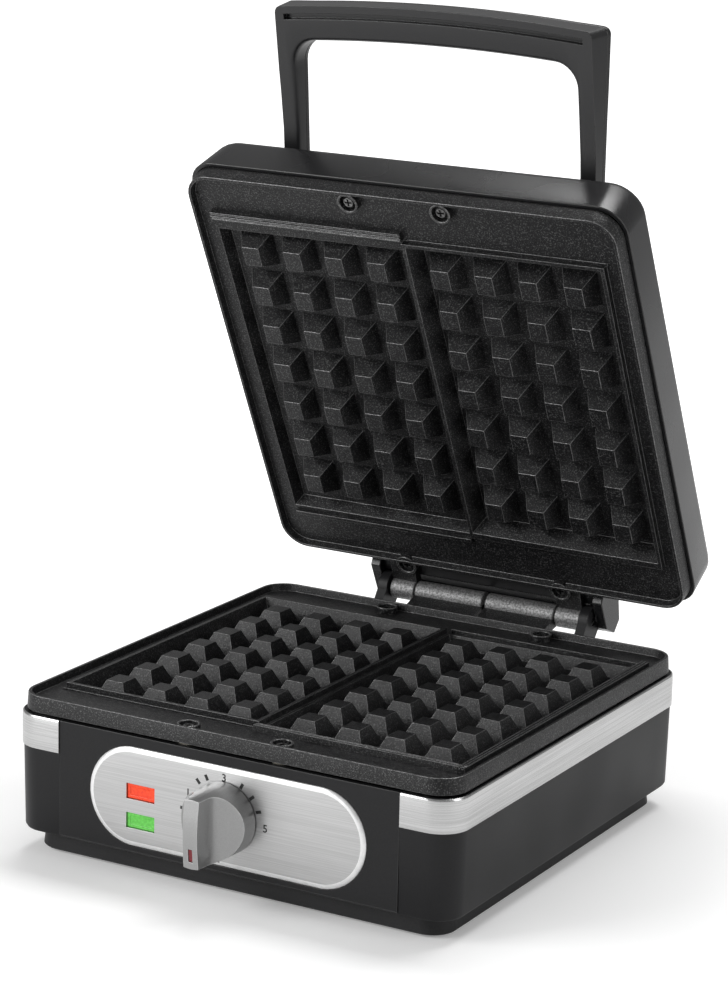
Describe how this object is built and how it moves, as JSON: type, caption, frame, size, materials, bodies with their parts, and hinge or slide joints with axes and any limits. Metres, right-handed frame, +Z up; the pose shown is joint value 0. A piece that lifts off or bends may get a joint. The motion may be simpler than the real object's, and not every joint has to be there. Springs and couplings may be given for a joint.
{
  "type": "waffle maker",
  "caption": "Square waffle maker with a hinged lid, cast stud plates, a steel band, a front control plate with a dial and lamps, and a U-shaped lift handle.",
  "frame": {"origin": "centre of the body's footprint on the plane the feet stand on", "axes": "+X to the right along the front panel, +Y from the front to the hinge, +Z up"},
  "size_m": [0.254, 0.3319, 0.4207],
  "materials": {
    "housing_plastic": "satin black moulding",
    "panel_plastic": "fine satin black moulding",
    "band_steel": "brushed along its length",
    "control_steel": "brushed along its length, polished edge",
    "lens_red": "tinted, translucent",
    "lens_green": "tinted, translucent",
    "pale_plastic": "plain",
    "ceramic": "unglazed ceramic",
    "lamp_glass": "clear",
    "zinc_steel": "zinc plated",
    "pin_steel": "turned",
    "heater_steel": "heat-darkened tube",
    "copper": "copper tube",
    "cast_plate": "cast, with a dark non-stick coat",
    "bright_sheet": "bright sheet",
    "silicone": "silicone-covered wire",
    "plinth_plastic": "satin dark grey moulding",
    "black_rubber": "matt",
    "knob_silver": "satin silver-grey",
    "pointer_red": "plain",
    "lid_plastic": "glossy black moulding",
    "handle_plastic": "satin black moulding"
  },
  "bodies": {
    "base": {"base_housing": "housing_plastic", "hinge_arms": "housing_plastic", "hinge_arm_screws": "zinc_steel", "front_panel": "panel_plastic", "side_band": "band_steel", "control_plate": "control_steel", "red_lens": "lens_red", "green_lens": "lens_green", "lamp_holder": "pale_plastic", "indicator_lamps": "lamp_glass", "panel_screws": "zinc_steel", "thermostat": "ceramic", "thermostat_bracket": "zinc_steel", "thermostat_nut": "zinc_steel", "sensor_bulb": "copper", "lower_plate": "cast_plate", "lower_heater": "heater_steel", "lower_heater_clips": "zinc_steel", "lower_reflector": "bright_sheet", "lower_reflector_screws": "zinc_steel", "lower_plate_screws": "zinc_steel", "plate_spacers": "ceramic", "thermal_fuse": "ceramic", "terminal_block": "pale_plastic", "base_wiring": "silicone", "base_cover": "plinth_plastic", "base_cover_screws": "zinc_steel", "rubber_feet": "black_rubber", "cord_gland": "black_rubber", "hinge_pin": "pin_steel"},
    "lid": {"upper_plate": "cast_plate", "upper_heater": "heater_steel", "upper_heater_clips": "zinc_steel", "upper_reflector": "bright_sheet", "upper_reflector_screws": "zinc_steel", "upper_plate_screws": "zinc_steel", "lid_shell": "lid_plastic", "handle": "handle_plastic", "handle_back": "handle_plastic", "handle_screws": "zinc_steel"},
    "knob": {"knob": "knob_silver", "knob_pointer": "pointer_red", "thermostat_shaft": "pin_steel"}
  },
  "joints": [
    {"name": "lid_hinge", "type": "hinge", "parent": "base", "child": "lid", "pos_m": [0, 0.146, 0.0855], "axis": [1, 0, 0], "range_deg": [-35, 63.2]},
    {"name": "knob_turn", "type": "hinge", "parent": "base", "child": "knob", "pos_m": [0.0005, -0.1291, 0.0424], "axis": [0, 1, 0], "range_deg": [0, 270]}
  ]
}
